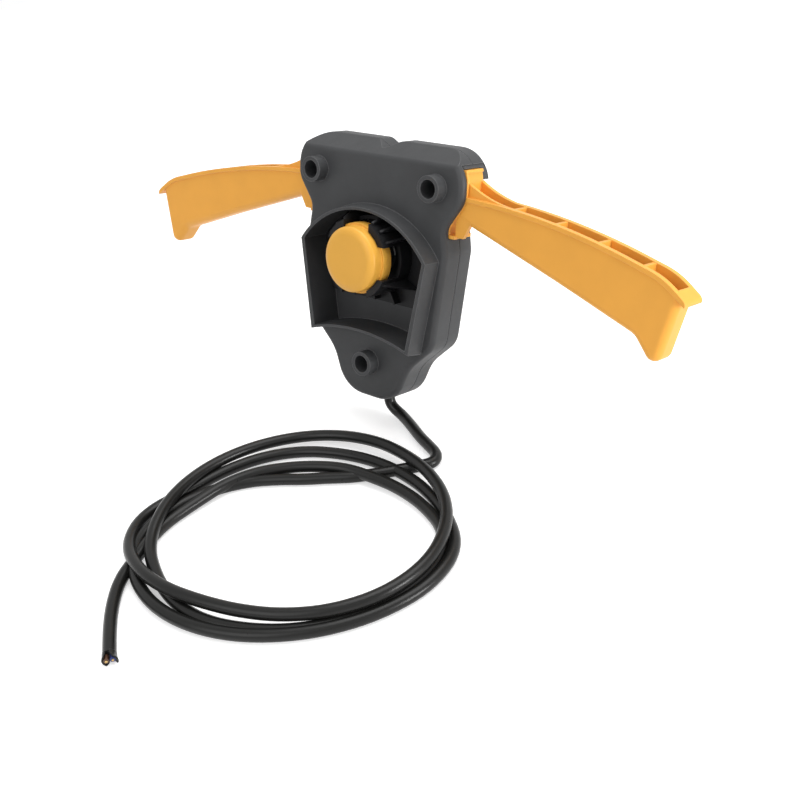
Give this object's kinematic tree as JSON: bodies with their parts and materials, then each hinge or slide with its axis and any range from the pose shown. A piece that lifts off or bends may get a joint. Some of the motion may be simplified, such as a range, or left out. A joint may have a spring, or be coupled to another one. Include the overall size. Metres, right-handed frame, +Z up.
{
  "type": "operator presence switch",
  "caption": "Operator presence switch: hinged hand levers on either side of a moulded housing, a guarded push button in a slotted collar, and a coiled cable with bare ends.",
  "frame": {"origin": "on the flat back face, on the middle plane, at the height of the button's axis", "axes": "+X to the right along the levers, +Y to the rear, +Z up; the housing leans back by 15 degrees, so its back face looks along +Y and a little down"},
  "size_m": [0.3774, 0.2745, 0.1588],
  "materials": {
    "housing_grey": "moulded, fine matt texture",
    "lever_orange": "moulded, satin",
    "button_yellow": "moulded, satin",
    "collar_black": "moulded, semi-gloss",
    "inner_black": "moulded",
    "plunger_red": "moulded",
    "spring_steel": "drawn wire",
    "pin_steel": "ground",
    "screw_steel": "zinc plated",
    "contact_brass": "stamped",
    "cable_black": "extruded sheath, satin",
    "core_brown": "extruded",
    "core_blue": "extruded"
  },
  "bodies": {
    "housing": {"front_shell": "housing_grey", "rear_shell": "housing_grey", "button_collar": "collar_black", "button_spring": "spring_steel", "lever_spring_left": "spring_steel", "lever_spring_right": "spring_steel", "pivot_pin_left": "pin_steel", "pivot_pin_right": "pin_steel", "case_screws": "screw_steel", "clamp_screws": "screw_steel", "microswitch_left": "inner_black", "microswitch_right": "inner_black", "switch_terminals": "contact_brass", "fixed_contacts": "contact_brass", "contact_block": "inner_black", "cable_clamp": "inner_black", "cable_grommet": "cable_black", "lead_brown": "core_brown", "lead_blue": "core_blue", "cable_lead": "cable_black", "cable_coil": "cable_black", "cable_tail": "cable_black", "core_brown": "core_brown", "core_blue": "core_blue"},
    "button": {"button_cap": "button_yellow", "button_stem": "inner_black", "contact_bridge": "contact_brass"},
    "lever_left": {"lever_left": "lever_orange"},
    "lever_right": {"lever_right": "lever_orange"},
    "plunger_left": {"switch_plunger_left": "plunger_red"},
    "plunger_right": {"switch_plunger_right": "plunger_red"}
  },
  "joints": [
    {"name": "button_slide", "type": "slide", "parent": "housing", "child": "button", "axis": [0, 0.9659, -0.2588], "range_m": [0, 0.0045], "stiffness_N_per_m": 900, "springref_m": -0.0045, "deforming": ["button_spring"]},
    {"name": "lever_left_hinge", "type": "hinge", "parent": "housing", "child": "lever_left", "pos_m": [-0.042, -0.00441, 0.02603], "axis": [0, -0.2588, -0.9659], "range_deg": [0, 14], "stiffness_Nm_per_rad": 1.2, "springref_deg": -14.32, "deforming": ["lever_spring_left"]},
    {"name": "lever_right_hinge", "type": "hinge", "parent": "housing", "child": "lever_right", "pos_m": [0.042, -0.00441, 0.02603], "axis": [0, 0.2588, 0.9659], "range_deg": [0, 14], "stiffness_Nm_per_rad": 1.2, "springref_deg": -14.32, "deforming": ["lever_spring_right"]},
    {"name": "plunger_left_slide", "type": "slide", "parent": "housing", "child": "plunger_left", "axis": [0, -0.9659, 0.2588], "range_m": [0, 0.00185]},
    {"name": "plunger_right_slide", "type": "slide", "parent": "housing", "child": "plunger_right", "axis": [0, -0.9659, 0.2588], "range_m": [0, 0.00185]}
  ],
  "couplings": [
    {"joint": "plunger_left_slide", "follows": "lever_left_hinge", "m_per_rad": 0.0075},
    {"joint": "plunger_right_slide", "follows": "lever_right_hinge", "m_per_rad": 0.0075}
  ]
}
